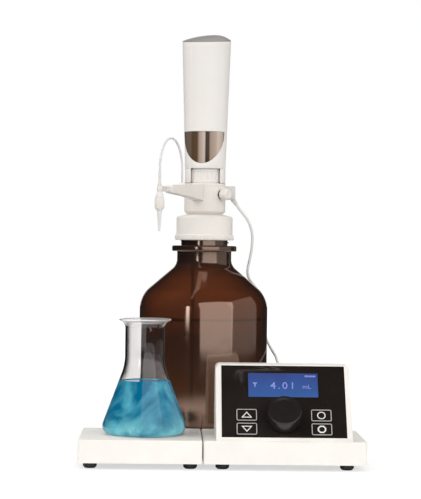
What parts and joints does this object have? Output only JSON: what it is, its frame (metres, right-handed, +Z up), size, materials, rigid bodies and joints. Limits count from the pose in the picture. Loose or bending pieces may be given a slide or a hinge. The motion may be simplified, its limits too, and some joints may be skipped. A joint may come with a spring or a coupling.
{
  "type": "automatic titrator",
  "caption": "Bench titrator: motor-driven dosing head on a brown reagent bottle, control unit with display, keys and knob, and a magnetic stirrer with a conical flask.",
  "frame": {"origin": "on the bench, under the middle of the box round the bases, the bottle and the knob", "axes": "+X to the right and +Y away from a user who faces the control unit, +Z up"},
  "size_m": [0.291, 0.2766, 0.4578],
  "materials": {
    "white_plastic": "satin white moulded plastic",
    "grey_plastic": "matt grey moulded plastic",
    "black_rubber": "matt black rubber",
    "steel": "bright steel",
    "magnet": "nickel-plated magnet",
    "ptfe": "waxy white PTFE",
    "clear_glass": "clear laboratory glass",
    "black_plastic": "satin black plastic",
    "black_panel": "glossy black panel",
    "display": "lit blue display",
    "board": "green circuit board",
    "amber_glass": "amber glass",
    "white_fittings": "white fittings",
    "cream_plastic": "cream plastic",
    "bronze": "bronze nut",
    "aluminium": "machined aluminium",
    "smoked_window": "smoked window",
    "cap_grey": "dark grey cap",
    "dosing_tube": "translucent tube",
    "sleeve_grey": "grey plastic",
    "cable": "light grey cable sheath"
  },
  "bodies": {
    "stand": {"stirrer_housing": "white_plastic", "stirrer_bottom": "grey_plastic", "stirrer_feet": "black_rubber", "stirrer_motor": "steel", "flask": "clear_glass", "base_housing": "white_plastic", "base_bottom": "grey_plastic", "base_feet": "black_rubber", "bottom_screws": "steel", "control_case": "white_plastic", "case_bottom": "grey_plastic", "rear_sockets": "black_plastic", "front_panel": "black_panel", "display_window": "display", "display_module": "steel", "circuit_board": "board", "key_switches": "steel", "encoder_body": "steel", "reagent_bottle": "amber_glass", "screw_collar": "white_fittings", "bottle_gasket": "black_rubber", "suction_tube": "ptfe", "valve_block": "white_fittings", "inlet_valve": "cream_plastic", "outlet_valve": "cream_plastic", "valve_washer": "black_rubber", "coupling_ring": "white_fittings", "glass_cylinder": "clear_glass", "drive_frame": "aluminium", "screw_bearing": "steel", "drive_motor": "black_plastic", "driver_board": "board", "front_shell": "white_plastic", "rear_shell": "white_plastic", "inspection_window": "smoked_window", "top_cap": "cap_grey", "dosing_arm": "white_fittings", "dosing_tube": "dosing_tube", "tip_sleeve": "sleeve_grey", "tip_clip": "cream_plastic", "tip_nut": "white_fittings", "cable_connector": "sleeve_grey", "head_cable": "cable", "cable_plug": "black_plastic"},
    "knob": {"control_knob": "black_plastic", "encoder_shaft": "steel"},
    "key_up": {"key_up": "black_plastic"},
    "key_down": {"key_down": "black_plastic"},
    "key_cycle": {"key_cycle": "black_plastic"},
    "key_stop": {"key_stop": "black_plastic"},
    "stirrer_rotor": {"stirrer_shaft": "steel", "magnet_carrier": "grey_plastic", "drive_magnets": "magnet"},
    "stir_bar": {"stir_bar": "ptfe"},
    "valve": {"valve_knob": "cream_plastic", "valve_spindle": "steel"},
    "piston": {"piston": "ptfe", "piston_seal": "black_rubber", "drive_nut": "bronze"},
    "lead_screw": {"lead_screw": "steel"}
  },
  "joints": [
    {"name": "knob_turn", "type": "hinge", "parent": "stand", "child": "knob", "pos_m": [0.0619, -0.11747, 0.0526], "axis": [0, -0.809, 0.5878], "continuous": true},
    {"name": "key_up_press", "type": "slide", "parent": "stand", "child": "key_up", "axis": [0, 0.809, -0.5878], "range_m": [0, 0.0005], "stiffness_N_per_m": 800, "springref_m": -0.0005},
    {"name": "key_down_press", "type": "slide", "parent": "stand", "child": "key_down", "axis": [0, 0.809, -0.5878], "range_m": [0, 0.0005], "stiffness_N_per_m": 800, "springref_m": -0.0005},
    {"name": "key_cycle_press", "type": "slide", "parent": "stand", "child": "key_cycle", "axis": [0, 0.809, -0.5878], "range_m": [0, 0.0005], "stiffness_N_per_m": 800, "springref_m": -0.0005},
    {"name": "key_stop_press", "type": "slide", "parent": "stand", "child": "key_stop", "axis": [0, 0.809, -0.5878], "range_m": [0, 0.0005], "stiffness_N_per_m": 800, "springref_m": -0.0005},
    {"name": "stirrer_spin", "type": "hinge", "parent": "stand", "child": "stirrer_rotor", "pos_m": [-0.083, -0.07122, 0.02], "axis": [0, 0, 1], "continuous": true},
    {"name": "bar_spin", "type": "hinge", "parent": "stand", "child": "stir_bar", "pos_m": [-0.083, -0.07122, 0.036], "axis": [0, 0, 1], "continuous": true},
    {"name": "valve_turn", "type": "hinge", "parent": "stand", "child": "valve", "pos_m": [-0.0173, 0.06778, 0.28064], "axis": [0.766, -0.6428, 0], "range_deg": [0, 90]},
    {"name": "piston_lift", "type": "slide", "parent": "stand", "child": "piston", "axis": [0, 0, 1], "range_m": [0, 0.04]},
    {"name": "screw_spin", "type": "hinge", "parent": "stand", "child": "lead_screw", "pos_m": [-0.0173, 0.06778, 0.38], "axis": [0, 0, 1], "range_deg": [-10, 2890]}
  ],
  "couplings": [
    {"joint": "bar_spin", "follows": "stirrer_spin", "ratio": 1},
    {"joint": "screw_spin", "follows": "piston_lift", "rad_per_m": 1256.6}
  ]
}
